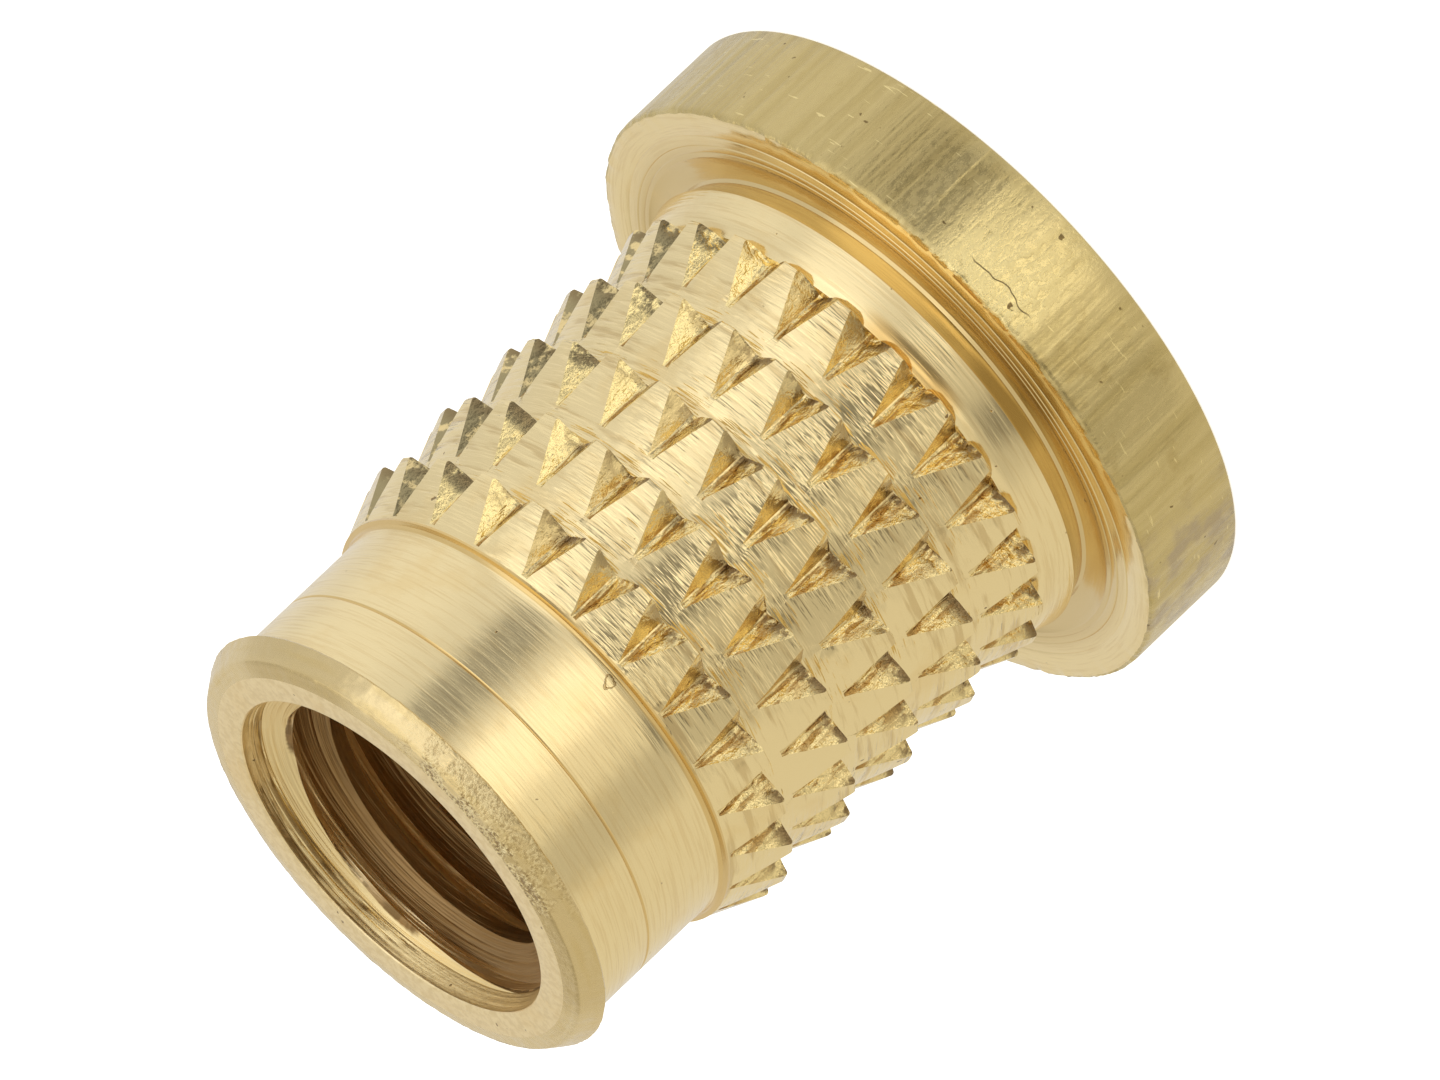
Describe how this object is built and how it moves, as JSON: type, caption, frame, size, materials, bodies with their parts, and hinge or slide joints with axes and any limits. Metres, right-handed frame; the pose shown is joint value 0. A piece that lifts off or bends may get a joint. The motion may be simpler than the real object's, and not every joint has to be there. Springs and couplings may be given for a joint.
{
  "type": "threaded insert",
  "caption": "Flanged brass press-in insert with barbed, notched rings, a plain pilot barrel with a rolled lip, and a metric thread through it.",
  "frame": {"origin": "centre of the flange's back face, which is the lowest point", "axes": "+Z along the thread's axis, from the flange towards the plain pilot end"},
  "size_m": [0.0114, 0.0114, 0.013],
  "materials": {
    "brass": "turned brass, bright with fine turning marks, duller on the flange rim"
  },
  "bodies": {
    "root": {"threaded_insert": "brass"}
  },
  "joints": []
}
